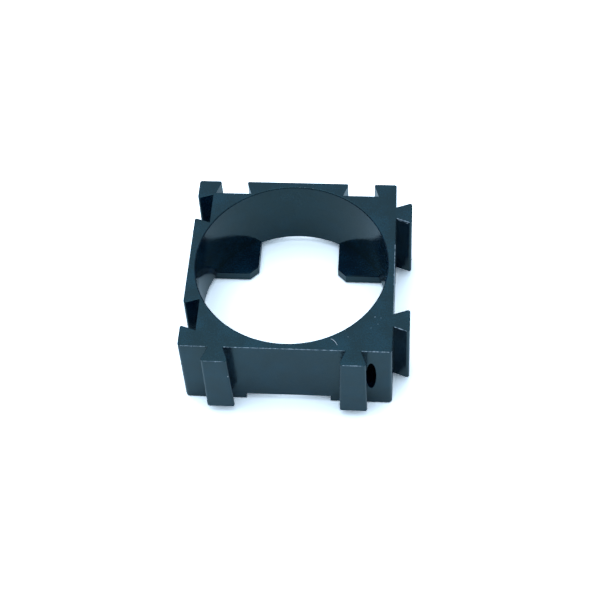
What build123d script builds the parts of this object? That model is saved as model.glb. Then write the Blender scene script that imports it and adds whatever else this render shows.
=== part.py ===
from build123d import *
import os
from math import radians, sqrt, tan

# Battery cell holder: a square moulded frame that grips one large cylindrical cell.
# Two dovetail tabs on the front (-Y) and right (+X) walls slide into the slots on
# the back (+Y) and left (-X) walls of the next holders. The cell stands on four
# corner lips, and a cross-shaped channel between the feet lets the nickel strips pass.
#
# Frame: millimetres, +Z up along the bore axis, origin on that axis at the seat,
# which is the top of the four lips. The feet end at z = -lip_thickness.

# ---- Driving dimensions ------------------------------------------------------

# Cell and body
cell_diameter = 32.2      # 32650 or 32700 cell in its sleeve
cell_play = 0.2           # gap all round the cell
rim_wall = 1.1            # least wall, where the bore comes nearest to a side
body_height = 15.6        # feet to rim
draft_angle = 1.0         # degrees; the outer faces lean out towards the feet

# Lips, feet and strip channel
lip_thickness = 2.1       # the corner plates that stop the cell
channel_width = 14.4      # strip channel, and the gap from lip to lip
channel_height = 1.6      # clear height under the walls and the tabs
lip_chamfer = 1.5         # 45 degree cut on each lip's inner corner
core_draft = 2.0          # degrees; below the seat the opening flares towards the feet

# Dovetail tabs, measured at the rim
tab_depth = 2.8           # how far a tab stands out of its wall
tab_neck = 2.4            # width where it leaves the wall
tab_tip = 4.55            # width at its face

# Dovetail slots
neck_play = 1.0           # slot mouth beyond the tab's neck, each side
tip_play = 0.85           # slot floor beyond the tab's tip, each side
depth_play = 0.17         # slot floor beyond the neighbour's tab, at the tab's foot
slot_web = 0.5            # wall left between a slot's floor corner and the bore
post_neck = 0.5           # least neck of the corner post between two slots

# Cored recess in the front wall, beside the right-hand tab
recess_width = 1.7
recess_height = 7.5
recess_depth = 5.0
recess_rise = 8.4         # its centre above the feet
recess_gap = 0.8          # between the recess and the tab's neck, sideways

# Softened edges; the outer edges of the top face stay sharp, because the mould parts there
corner_round = 0.4        # upright edges of the body and of the tabs' faces
mouth_round = 0.3         # upright edges of the slot mouths
foot_round = 0.25         # lower edges of the outer walls and the tabs
channel_break = 0.2       # 45 degree break on the feet, along the strip channel
lip_break = 0.15          # 45 degree break on the upper edges of the lips
bore_break = 0.15         # 45 degree break round the bore's mouth

# ---- Worked-out places -------------------------------------------------------

base_z = -lip_thickness
rim_z = base_z + body_height
channel_z = base_z + channel_height

bore_radius = cell_diameter / 2 + cell_play


def growth(z):
    """How far an outer face at height z stands outside its line at the rim."""
    return (rim_z - z) * tan(radians(draft_angle))


# Neighbours touch at their feet, and a tab must clear the slot it slides into.
slot_depth = tab_depth + depth_play + growth(channel_z) - 2 * growth(base_z)    # at the rim
slot_mouth_half = tab_neck / 2 + neck_play
slot_floor_half = tab_tip / 2 + tip_play

# A slot's floor corners stay slot_web from the bore and post_neck from the next slot's.
# That takes a floor at least this far from the bore axis, so deeper tabs widen the body.
web_radius = bore_radius + slot_web
floor_span = 2 * slot_floor_half + post_neck / sqrt(2)
least_floor = (floor_span + sqrt(2 * web_radius ** 2 - floor_span ** 2)) / 2
half_side = max(bore_radius + rim_wall, least_floor + slot_depth)               # at the rim
slot_floor = half_side - slot_depth
row_offset = sqrt(web_radius ** 2 - slot_floor ** 2) + slot_floor_half
pitch = 2 * (half_side + growth(base_z))

# ---- Walls -------------------------------------------------------------------


def walls():
    """Square block with rounded corners, wider at the feet by the draft."""
    foot = Pos(0, 0, base_z) * RectangleRounded(pitch, pitch, corner_round + growth(base_z))
    return extrude(foot, body_height, taper=draft_angle)


def tab_section(z):
    """Dovetail outline of a front tab at height z, with its root inside the wall."""
    lean = (tab_tip - tab_neck) / 2 / tab_depth
    grow = growth(z)
    face_y = -(half_side + grow + tab_depth)
    root_y = -(half_side - rim_wall / 2)
    tip_half = tab_tip / 2 + grow
    root_half = tip_half - lean * (root_y - face_y)
    outline = Polygon(
        (-root_half, root_y), (-tip_half, face_y), (tip_half, face_y), (root_half, root_y), align=None
    )
    face_corners = outline.vertices().group_by(Axis.Y)[0]
    return Pos(0, 0, z) * fillet(face_corners, corner_round)


def tab():
    """One front tab, centred on x = 0; its underside is level with the channel's roof."""
    solid = loft([tab_section(channel_z), tab_section(rim_z)], ruled=True)
    underside = solid.faces().sort_by(Axis.Z)[0]
    edges = underside.edges() - underside.edges().sort_by(Axis.Y)[-1:]
    return fillet(edges, foot_round)


def slot():
    """One back slot, centred on x = 0, cut straight down through the whole height."""
    lean = (slot_floor_half - slot_mouth_half) / (half_side - slot_floor)
    outside_y = half_side + 2 * growth(base_z)
    outside_half = slot_floor_half - lean * (outside_y - slot_floor)
    outline = Polygon(
        (-slot_floor_half, slot_floor), (slot_floor_half, slot_floor),
        (outside_half, outside_y), (-outside_half, outside_y), align=None
    )
    return extrude(Pos(0, 0, base_z) * outline, body_height)


def pair(shape, turn):
    """A shape and its twin, row_offset either side of centre, turned about the bore axis."""
    return [Rot(0, 0, turn) * Pos(side * row_offset, 0, 0) * shape for side in (-1, 1)]


# ---- Openings ----------------------------------------------------------------


def strip_cross(grow=0.0):
    """Plan of the strip channel, grown all round: a cross with 45 degree cuts in its inner corners."""
    arm = 2 * pitch
    width = channel_width + 2 * grow
    cross = Rectangle(width, arm) + Rectangle(arm, width)
    inner = cross.vertices().filter_by(lambda v: max(abs(v.X), abs(v.Y)) < pitch / 2)
    return chamfer(inner, lip_chamfer - (2 - sqrt(2)) * grow)


def flare(low_z, low_grow, high_z, high_grow):
    """The strip channel's plan, widening or narrowing between two heights."""
    low = Pos(0, 0, low_z) * strip_cross(low_grow)
    high = Pos(0, 0, high_z) * strip_cross(high_grow)
    return loft([low, high], ruled=True)


def strip_channel():
    """Cross-shaped channel under the walls, with a break along the feet."""
    straight = extrude(Pos(0, 0, base_z) * strip_cross(), channel_height)
    return straight + flare(base_z, channel_break, base_z + channel_break, 0)


def cell_space():
    """Bore above the seat, with a break at its mouth."""
    bore = extrude(Circle(bore_radius), rim_z)
    mouth = Pos(0, 0, rim_z - bore_break / 2) * Cone(bore_radius, bore_radius + bore_break, bore_break)
    return bore + mouth


def window():
    """Opening between the four lips: the cross within the bore's outline, flared by its draft."""
    foot_radius = bore_radius + lip_thickness * tan(radians(core_draft))
    round_part = Pos(0, 0, base_z / 2) * Cone(foot_radius, bore_radius, lip_thickness)
    cross = extrude(Pos(0, 0, base_z) * strip_cross(), lip_thickness)
    return round_part & (cross + flare(-lip_break, 0, 0, lip_break))


def recess():
    """Oval core hole in the front wall, just right of the right-hand tab."""
    centre_x = row_offset + tab_neck / 2 + recess_gap + recess_width / 2
    face = Plane.XZ.offset(half_side + 2 * growth(base_z))
    sunk = 2 * growth(base_z) + recess_depth
    oval = face * Pos(centre_x, base_z + recess_rise) * Ellipse(recess_width / 2, recess_height / 2)
    return extrude(oval, -sunk)


# ---- Holder ------------------------------------------------------------------


def reach(edge):
    """Larger of an edge's two distances from the bore axis, along X and along Y."""
    return max(abs(edge.center().X), abs(edge.center().Y))


def round_mouths(body):
    """Round the upright edges of the slot mouths."""
    upright = body.edges().filter_by(lambda e: e.bounding_box().size.Z > body_height / 2)
    corners = [e for e in upright if min(abs(e.center().X), abs(e.center().Y)) > row_offset + slot_floor_half]
    mouths = [e for e in upright if reach(e) > half_side and e not in corners]
    return fillet(mouths, mouth_round)


def holder():
    block = walls()
    body = block
    for cut in pair(slot(), 0) + pair(slot(), 90):
        body -= cut
    body = round_mouths(body)
    body &= fillet(block.edges().group_by(Axis.Z)[0], foot_round)
    for piece in pair(tab(), 0) + pair(tab(), 90):
        body += piece
    return body - cell_space() - window() - strip_channel() - recess()


cell_holder = holder()

os.makedirs("parts", exist_ok=True)
export_step(cell_holder, "parts/cell_holder.step")
print("pitch", round(pitch, 3), "row offset", round(row_offset, 3), "slot floor", round(slot_floor, 3))
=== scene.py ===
# %% [markdown]
# # A battery cell holder in black ABS
#
# The real object is one small injection moulding: a square frame that grips a large
# round cell, with dovetail tabs on two sides and slots on the other two. All of its
# shape is already in the CAD model. What is left for Blender is what a mould and a
# pair of hands leave on it: the skin of the plastic, the ragged flash along the
# parting line, small nibs and specks, and a loose fibre.

# %% Load the frame
import math
import bpy
import numpy as np
from mathutils import Matrix, Vector


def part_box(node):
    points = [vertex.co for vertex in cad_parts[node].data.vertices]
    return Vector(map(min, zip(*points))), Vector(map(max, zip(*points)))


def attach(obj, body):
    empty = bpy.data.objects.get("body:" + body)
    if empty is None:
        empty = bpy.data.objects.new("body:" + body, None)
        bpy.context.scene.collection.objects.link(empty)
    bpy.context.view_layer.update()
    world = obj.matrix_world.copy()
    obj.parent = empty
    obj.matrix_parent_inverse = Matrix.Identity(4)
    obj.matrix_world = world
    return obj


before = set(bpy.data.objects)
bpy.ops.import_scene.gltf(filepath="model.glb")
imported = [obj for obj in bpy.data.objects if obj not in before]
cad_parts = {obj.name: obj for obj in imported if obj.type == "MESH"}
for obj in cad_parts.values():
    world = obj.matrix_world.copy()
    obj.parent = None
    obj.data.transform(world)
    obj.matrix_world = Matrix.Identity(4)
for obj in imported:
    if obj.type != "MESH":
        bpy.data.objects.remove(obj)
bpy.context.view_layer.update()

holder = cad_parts["cell_holder"]
low, high = (np.array(corner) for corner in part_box("cell_holder"))
print("holder spans", np.round((high - low) * 1000, 2), "mm")

# %% [markdown]
# ## Sizes that the details hang on
#
# The flash follows edges of the moulding, so it needs to know where they are. The
# heights come straight from the loaded model. The plan sizes are the ones that the
# moulding was designed with, in millimetres.

# %% Name the edges
MM = 0.001
FEET = low[2]                      # underside of the four feet
RIM = high[2]                      # top face
BORE = 16.30 * MM                  # radius of the bore
SIDE = 17.40 * MM                  # bore axis to an outer wall, at the rim
TAB_FACE = SIDE + 2.80 * MM        # bore axis to a tab's face, at the rim
TAB_ROW = 11.203 * MM              # bore axis to a tab's middle, along the wall
TAB_NECK = 1.20 * MM               # half of a tab's width at the wall
TAB_TIP = 2.275 * MM               # half of a tab's width at its face
print("rim at", round(RIM / MM, 2), "mm, feet at", round(FEET / MM, 2), "mm")


# %% [markdown]
# ## Two small helpers
#
# Colours are written the way a paint program shows them, as sRGB hex, and Blender's
# shaders want linear light, so one function does the sum. The other adds a shader
# node, sets its sockets and plugs in its links, which keeps every material below
# short enough to read as a recipe.

# %% Colour and node helpers
def linear(hex_colour):
    """sRGB hex to linear RGBA: each channel is c/12.92 below 0.04045, else ((c + 0.055)/1.055)^2.4."""
    c = np.array([int(hex_colour[i:i + 2], 16) / 255 for i in (1, 3, 5)])
    c = np.where(c <= 0.04045, c / 12.92, ((c + 0.055) / 1.055) ** 2.4)
    return (*c.tolist(), 1.0)


def add(tree, kind, settings=None, **sockets):
    """Add a node. settings are its properties; each socket is a value, or an output socket to link."""
    node = tree.nodes.new(kind)
    for name, value in (settings or {}).items():
        setattr(node, name, value)
    for name, value in sockets.items():
        key = int(name[1:]) if name[1:].isdigit() else name.replace("_", " ")
        socket = node.inputs[key]
        if isinstance(value, bpy.types.NodeSocket):
            tree.links.new(value, socket)
        else:
            socket.default_value = value
    return node


def new_material(name):
    """An empty node material: returns it with its tree, ready for a shader to be plugged in."""
    material = bpy.data.materials.new(name)
    material.use_nodes = True
    material.node_tree.nodes.clear()
    return material, material.node_tree


print("#808080 in linear light is", round(linear("#808080")[0], 4))

# %% [markdown]
# ## The camera
#
# The holder is small, so it is shot from close by with a moderate telephoto lens,
# about 22 cm away and 55 degrees above the bench. The camera's three axes are worked
# out from its azimuth, elevation and a few degrees of roll, as a hand would hold it.

# %% Place the camera
AZIMUTH, ELEVATION, ROLL = (math.radians(a) for a in (7.228, 55.037, -4.267))
TARGET = Vector((1.295, -2.304, 5.700)) * MM
DISTANCE = 223.64 * MM

back = Vector((math.sin(AZIMUTH) * math.cos(ELEVATION),
               -math.cos(AZIMUTH) * math.cos(ELEVATION),
               math.sin(ELEVATION)))
right = Vector((math.cos(AZIMUTH), math.sin(AZIMUTH), 0))
up = back.cross(right)
across = right * math.cos(ROLL) + up * math.sin(ROLL)
above = up * math.cos(ROLL) - right * math.sin(ROLL)

camera = bpy.data.objects.new("camera", bpy.data.cameras.new("camera"))
camera.data.lens = 77.706
camera.data.sensor_width = 36.0
camera.data.clip_start = 0.01
camera.matrix_world = Matrix((across, above, back)).transposed().to_4x4()
camera.location = TARGET + back * DISTANCE
bpy.context.scene.collection.objects.link(camera)
bpy.context.scene.camera = camera
print("camera", [round(c / MM, 1) for c in camera.location], "mm")

# %% [markdown]
# ## Black ABS, as it leaves the mould
#
# ABS is an opaque, slightly soft-looking plastic with an index of refraction near
# 1.54. Black ABS hardly shows a colour of its own: nearly all that the eye sees is
# its mirror image of the room, a little blurred, so roughness and bump matter more
# than the base colour. The skin is never quite even. Melt flow leaves faint clouds a
# few millimetres wide, and the eroded steel leaves a grain of a few tenths of a
# millimetre. The core that forms the bore is polished, so that the part lets go of
# it, and the bore comes out glossier than the outer walls.
#
# No moulded edge is truly sharp either. The Bevel node turns the shading over within
# about a tenth of a millimetre of an edge, and leaves the mesh as it is. It fades out
# over the last millimetre above the seat, where bore and lips meet in a crisp corner.

# %% Make the black ABS
def black_abs(name, base, lighter, polished, eroded, edge):
    """Black ABS: grain and clouds mixed into colour and bump, softened edges, and two degrees of gloss.

    Roughness is polished inside the bore's radius and eroded outside it, by distance from the Z axis.
    """
    material, tree = new_material(name)
    place = add(tree, "ShaderNodeTexCoord").outputs["Object"]
    clouds = add(tree, "ShaderNodeTexNoise", Vector=place,
                 Scale=1 / (4.0 * MM), Detail=3.0, Roughness=0.55)
    grain = add(tree, "ShaderNodeTexNoise", Vector=place,
                Scale=1 / (0.30 * MM), Detail=2.0, Roughness=0.6)
    mottle = add(tree, "ShaderNodeMath", {"operation": "ADD"},
                 _0=clouds.outputs["Fac"], _1=grain.outputs["Fac"])
    speckle = add(tree, "ShaderNodeMapRange", Value=mottle.outputs["Value"],
                  From_Min=0.88, From_Max=1.18)
    colour = add(tree, "ShaderNodeMix", {"data_type": "RGBA"},
                 _0=speckle.outputs["Result"], _6=linear(base), _7=linear(lighter))
    flat = add(tree, "ShaderNodeVectorMath", {"operation": "MULTIPLY"}, _0=place, _1=(1.0, 1.0, 0.0))
    radius = add(tree, "ShaderNodeVectorMath", {"operation": "LENGTH"}, _0=flat.outputs["Vector"])
    gloss = add(tree, "ShaderNodeMapRange", Value=radius.outputs["Value"],
                From_Min=BORE + 0.02 * MM, From_Max=BORE + 0.20 * MM, To_Min=polished, To_Max=eroded)
    rough = add(tree, "ShaderNodeMath", {"operation": "MULTIPLY_ADD"}, _0=clouds.outputs["Fac"],
                _1=0.06, _2=gloss.outputs["Result"])
    height = add(tree, "ShaderNodeSeparateXYZ", Vector=place)
    turn = add(tree, "ShaderNodeMapRange", Value=height.outputs["Z"], From_Min=0.0, From_Max=1.0 * MM,
               To_Min=0.0, To_Max=edge)
    soft_edge = add(tree, "ShaderNodeBevel", {"samples": 6}, Radius=turn.outputs["Result"])
    bump = add(tree, "ShaderNodeBump", Height=grain.outputs["Fac"], Strength=0.5, Distance=0.014 * MM,
               Normal=soft_edge.outputs["Normal"])
    shader = add(tree, "ShaderNodeBsdfPrincipled", Base_Color=colour.outputs[2],
                 Roughness=rough.outputs["Value"], IOR=1.54, Specular_Tint=linear("#BCFFFF"),
                 Normal=bump.outputs["Normal"])
    add(tree, "ShaderNodeOutputMaterial", Surface=shader.outputs["BSDF"])
    return material


abs_skin = black_abs("black_abs_moulded_satin", "#010A20", "#06253A", 0.08, 0.17, 0.12 * MM)
for slot in holder.material_slots:
    slot.material = abs_skin
print("material on", holder.name, "slots", len(holder.material_slots))

# %% [markdown]
# ## The whitish finish of torn plastic, with a painted highlight
#
# Where ABS is stretched or torn it goes pale, because tiny voids open in it and
# scatter the light. Flash that was trimmed or rubbed off looks like that: a dull
# grey, almost white where it is thinnest. Lint and dust are paler and rougher still.
# The flash colour is painted lighter than whitened plastic alone would be. That extra
# lightness is a painted highlight, for the light that its thin edges catch.

# %% Make the pale finishes, one with a painted highlight
def pale_finish(name, dull, bright, patch, roughness):
    """Dull, light-scattering finish whose colour changes over patches of a given size."""
    material, tree = new_material(name)
    place = add(tree, "ShaderNodeTexCoord").outputs["Object"]
    patches = add(tree, "ShaderNodeTexNoise", Vector=place, Scale=1 / patch, Detail=2.0, Roughness=0.5)
    mix = add(tree, "ShaderNodeMapRange", Value=patches.outputs["Fac"], From_Min=0.35, From_Max=0.65)
    colour = add(tree, "ShaderNodeMix", {"data_type": "RGBA"},
                 _0=mix.outputs["Result"], _6=linear(dull), _7=linear(bright))
    bump = add(tree, "ShaderNodeBump", Height=patches.outputs["Fac"], Strength=0.4, Distance=0.01 * MM)
    shader = add(tree, "ShaderNodeBsdfPrincipled", Base_Color=colour.outputs[2], Roughness=roughness,
                 IOR=1.5, Normal=bump.outputs["Normal"])
    add(tree, "ShaderNodeOutputMaterial", Surface=shader.outputs["BSDF"])
    return material


# Flash: whitened ABS, painted lighter as a highlight for the light on its thin edges.
pale_abs_and_highlight = pale_finish("whitened_abs_and_painted_highlight", "#4C6272", "#B4C4D0", 0.5 * MM, 0.5)
lint = pale_finish("pale_lint_and_dust", "#A9B6C2", "#D5DDE4", 0.2 * MM, 0.8)
print("finishes", pale_abs_and_highlight.name, lint.name)

# %% [markdown]
# ## Flash, nibs and lint
#
# Molten plastic creeps into the gap where the two halves of a mould meet, and sets as
# a ragged thread along the edge: flash. Here the mould parts at the top face, so the
# flash runs along its outer edges and round the tabs. Each thread is a bead: an oval
# carried along a path, with a seeded random width that keeps swelling and thinning,
# and both ends drawn out to a point. A bevel or a texture couldn't do this, because
# flash stands proud of the edge and catches the light by itself. Its pale colour also
# paints part of that highlight. A thread ends where the rounding of a corner begins,
# so that all of it lies on the moulding.

# %% Carry an oval along a path
def ragged(count, stretch, seed):
    """Uneven width from 0 to 1: random knots every few steps, blended by 3t^2 - 2t^3, then squared."""
    knots = np.random.default_rng(seed).random(int(count / stretch) + 3)
    where = np.arange(count) / stretch
    left = where.astype(int)
    t = where - left
    blend = t * t * (3 - 2 * t)
    return (knots[left] * (1 - blend) + knots[left + 1] * blend) ** 2


def bead(name, path, half_width, half_height, finish, upward=(0, 0, 1), sides=10):
    """Closed bead along a path of n points.

    Ring i is path_i + w_i cos(a) side_i + h_i sin(a) up_i, where side_i is the path's direction
    crossed with upward, and w_i and h_i shrink to nothing at the two end points, the poles.
    The corners of each face are listed so that the face turns outward.
    """
    path = np.asarray(path, float)
    ahead = np.gradient(path, axis=0)
    ahead /= np.linalg.norm(ahead, axis=1, keepdims=True)
    side = np.cross(ahead, upward)
    side /= np.linalg.norm(side, axis=1, keepdims=True)
    up = np.cross(side, ahead)
    a = np.linspace(0, 2 * math.pi, sides, endpoint=False)
    rings = (path[1:-1, None] + (half_width[1:-1, None] * np.cos(a))[..., None] * side[1:-1, None]
             + (half_height[1:-1, None] * np.sin(a))[..., None] * up[1:-1, None])
    points = np.vstack([path[:1], rings.reshape(-1, 3), path[-1:]])

    ring = 1 + sides * np.arange(len(path) - 2)[:, None] + np.arange(sides)
    turned = np.roll(ring, -1, axis=1)
    walls = np.stack([ring[:-1], ring[1:], turned[1:], turned[:-1]], axis=-1).reshape(-1, 4)
    tail = np.full(sides, 0)
    head = np.full(sides, len(points) - 1)
    caps = np.vstack([np.stack([tail, ring[0], turned[0]], axis=1),
                      np.stack([head, turned[-1], ring[-1]], axis=1)])

    mesh = bpy.data.meshes.new(name)
    mesh.from_pydata(points.tolist(), [], walls.tolist() + caps.tolist())
    mesh.polygons.foreach_set("use_smooth", np.ones(len(mesh.polygons), bool))
    mesh.materials.append(finish)
    piece = bpy.data.objects.new(name, mesh)
    bpy.context.scene.collection.objects.link(piece)
    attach(piece, "root")
    return piece


def flash(name, start, end, width, seed, step=0.07, stretch=3.5, least=0.3):
    """Straight ragged bead from start to end, millimetres; width is its widest half-width."""
    start, end = np.array(start, float), np.array(end, float)
    count = int(np.linalg.norm(end - start) / step) + 4
    t = np.linspace(0, 1, count)
    path = start + t[:, None] * (end - start)
    swell = width * (least + (1 - least) * ragged(count, stretch, seed))
    swell = swell * np.minimum(1, np.minimum(t, 1 - t) * (count - 1) / 3)
    # The pale colour paints the edge's highlight as well as whitened plastic.
    return bead(name, path * MM, swell * MM, 0.8 * swell * MM, pale_abs_and_highlight)


print("a bead's width, first knots", np.round(ragged(8, 3.5, 1), 2))

# %% Lay the flash along the top edges
side, face, rim = SIDE / MM, TAB_FACE / MM, RIM / MM
row, neck, tip = TAB_ROW / MM, TAB_NECK / MM, TAB_TIP / MM
corner = 0.55                      # how far before a tab's rounded corner a thread ends
shoulder = face - 0.40             # where a thread on a tab's flank ends, for the same reason
tuck = 0.03                        # how far that end is moved in, to stay on the flank


def flank(x):
    """Half of a tab's width at the rim, x millimetres from the bore axis.

    It widens evenly from wall to face: neck + (tip - neck)(x - side)/(face - side).
    """
    return neck + (tip - neck) * (x - side) / (face - side)


EDGES = [
    ("flash_front_left", (-side + 0.3, -side, rim), (-row - neck - 0.3, -side, rim), 0.075, 11),
    ("flash_front_middle", (-row + neck + 0.1, -side, rim), (row - neck - 0.2, -side, rim), 0.085, 12),
    ("flash_front_right", (row + neck + 0.1, -side, rim), (side - 0.35, -side, rim), 0.120, 13),
    ("flash_left_tip", (-row - tip + corner, -face, rim), (-row + tip - corner, -face, rim), 0.065, 14),
    ("flash_right_tip", (row - tip + corner, -face, rim), (row + tip - corner, -face, rim), 0.090, 15),
    ("flash_rear_flank", (side + 0.1, row - flank(side + 0.1), rim),
     (shoulder, row - flank(shoulder) + tuck, rim), 0.170, 16),
    ("flash_rear_flank_fold", (side + 0.3, row - flank(side + 0.3), rim - 0.30),
     (shoulder, row - flank(shoulder) + tuck, rim - 0.36), 0.10, 17),
    ("flash_front_flank", (side + 0.2, -row - flank(side + 0.2), rim),
     (shoulder, -row - flank(shoulder) + tuck, rim), 0.110, 18),
    ("flash_right_edge", (side, -4.3, rim), (side, 4.4, rim), 0.085, 19),
]
threads = [flash(*edge) for edge in EDGES]
print(len(threads), "threads of flash")

# %% Nibs, specks and a fibre
def lump(name, centre, radius, finish, seed):
    """Small uneven lump: a short bead whose half-width is sin(pi t) times a ragged 0.8 to 1."""
    t = np.linspace(0, 1, 9)
    path = np.array(centre, float) + np.outer((2 * t - 1) * radius, (0.8, 0.6, 0.1))
    swell = radius * np.sin(math.pi * t) * (0.8 + 0.2 * ragged(9, 3, seed))
    return bead(name, path * MM, swell * MM, 0.7 * swell * MM, finish)


# Nibs and specks share the flash colour, so part of their highlight is painted too.
LUMPS = [
    ("nib_rear_tab", (20.43, 9.53, 2.42), 0.13, pale_abs_and_highlight, 21),
    ("nib_left_edge", (-17.42, 6.10, 13.5), 0.16, pale_abs_and_highlight, 22),
    ("nib_front_left", (-15.05, -17.41, 13.48), 0.13, pale_abs_and_highlight, 23),
    ("nib_left_tip", (-10.85, -20.21, 13.48), 0.13, pale_abs_and_highlight, 24),
    ("nib_right_tip_a", (11.10, -20.21, 13.48), 0.12, pale_abs_and_highlight, 25),
    ("nib_right_tip_b", (12.55, -20.21, 13.48), 0.11, pale_abs_and_highlight, 26),
    ("speck_left_tab", (-9.23, -20.22, 9.02), 0.12, lint, 27),
    ("speck_top_a", (14.46, -10.66, 13.5), 0.09, pale_abs_and_highlight, 28),
    ("speck_top_b", (15.44, -10.82, 13.5), 0.09, pale_abs_and_highlight, 29),
    ("speck_top_c", (14.99, -12.02, 13.5), 0.08, pale_abs_and_highlight, 30),
    ("speck_top_d", (13.88, -12.84, 13.5), 0.08, pale_abs_and_highlight, 31),
    ("speck_top_e", (10.23, -14.72, 13.5), 0.08, pale_abs_and_highlight, 32),
    ("speck_bore_a", (0.40, 16.40, 13.5), 0.07, pale_abs_and_highlight, 33),
    ("speck_bore_b", (1.30, 16.36, 13.5), 0.09, pale_abs_and_highlight, 34),
    ("speck_bore_c", (2.70, 16.20, 13.5), 0.08, pale_abs_and_highlight, 35),
]
lumps = [lump(*spot) for spot in LUMPS]

t = np.linspace(0, 1, 40)
start, end = np.array((7.45, -15.15, rim)), np.array((8.60, -16.40, rim))
arch = np.sin(math.pi * t)         # the fibre rests on its two ends and bows up between them
bow = np.outer(0.10 * arch, (0.74, 0.67, 0.0)) + np.outer(0.12 * arch, (0, 0, 1))
swell = 0.055 * np.sin(math.pi * np.clip(t, 0.02, 0.98)) ** 0.4 * (t > 0) * (t < 1)
fibre = bead("lint_fibre", (start + np.outer(t, end - start) + bow) * MM, swell * MM, swell * MM, lint)
print(len(lumps), "lumps and", fibre.name)

# %% [markdown]
# ## The bench
#
# The sheet is lit past white, as any white sweep is when the exposure is set for a
# black object, so the camera sees a brighter paper than the plastic does. Mirrored in
# the plastic it is a little cool, like the room. It still takes the holder's shadow.

# %% Lay the white sheet
PAPER = (0.90, 0.90, 0.90, 1)             # as it lights the holder
PAPER_IN_GLOSS = (0.90, 1.05, 1.12, 1)    # as the plastic mirrors it
PAPER_SEEN = (2.4, 2.4, 2.4, 1)           # as the camera sees it

paper, tree = new_material("white_paper_sweep")
path = add(tree, "ShaderNodeLightPath")
mirrored = add(tree, "ShaderNodeMath", {"operation": "MAXIMUM"},
               _0=path.outputs["Is Glossy Ray"], _1=path.outputs["Is Transmission Ray"])
seen_in_gloss = add(tree, "ShaderNodeMix", {"data_type": "RGBA"}, _0=mirrored.outputs[0],
                    _6=PAPER, _7=PAPER_IN_GLOSS)
seen = add(tree, "ShaderNodeMix", {"data_type": "RGBA"}, _0=path.outputs["Is Camera Ray"],
           _6=seen_in_gloss.outputs[2], _7=PAPER_SEEN)
sheet = add(tree, "ShaderNodeBsdfDiffuse", Color=seen.outputs[2])
add(tree, "ShaderNodeOutputMaterial", Surface=sheet.outputs["BSDF"])

HALF = 2.0                                # half of the sheet's side, metres
corners = [(-HALF, -HALF, FEET), (HALF, -HALF, FEET), (HALF, HALF, FEET), (-HALF, HALF, FEET)]
bench = bpy.data.meshes.new("bench")
bench.from_pydata(corners, [], [(0, 1, 2, 3)])
bench.materials.append(paper)
bench_sheet = bpy.data.objects.new("bench_sheet", bench)
bpy.context.scene.collection.objects.link(bench_sheet)
print("bench at", round(FEET / MM, 2), "mm")

# %% [markdown]
# ## The light
#
# A black object shows mostly what it mirrors. Seen from well above, its top face
# mirrors the sky and its upright walls mirror the bench. The sky is dim near the
# horizon and bright overhead, so that shadows gather under the holder instead of
# washing out. A round softbox a metre above the bench helps. Both are slightly cool.

# %% Light the room
COOL = "#D8EDFF"
SKY_LOW, SKY_HIGH = 0.30, 1.12            # strength near the horizon and overhead
SOFTBOX = (-0.15, 0.10, 1.0)              # metres

world = bpy.data.worlds.new("soft_white_room")
world.use_nodes = True
world.node_tree.nodes.clear()
heading = add(world.node_tree, "ShaderNodeTexCoord").outputs["Generated"]
height = add(world.node_tree, "ShaderNodeSeparateXYZ", Vector=heading).outputs["Z"]
glow = add(world.node_tree, "ShaderNodeMapRange", {"interpolation_type": "SMOOTHSTEP"},
           Value=height, From_Min=0.45, From_Max=0.80, To_Min=SKY_LOW, To_Max=SKY_HIGH)
room = add(world.node_tree, "ShaderNodeBackground", Color=linear(COOL), Strength=glow.outputs["Result"])
add(world.node_tree, "ShaderNodeOutputWorld", Surface=room.outputs["Background"])
bpy.context.scene.world = world

lamp = bpy.data.lights.new("overhead_softbox", "AREA")
lamp.shape, lamp.size, lamp.energy, lamp.color = "DISK", 0.73, 3.0, linear(COOL)[:3]
softbox = bpy.data.objects.new("overhead_softbox", lamp)
softbox.location = SOFTBOX
softbox.rotation_euler = Vector(SOFTBOX).to_track_quat("Z", "Y").to_euler()
bpy.context.scene.collection.objects.link(softbox)

bpy.context.scene.view_settings.view_transform = "Standard"
print("sky strength", SKY_LOW, "to", SKY_HIGH, "and softbox", lamp.energy, "W")
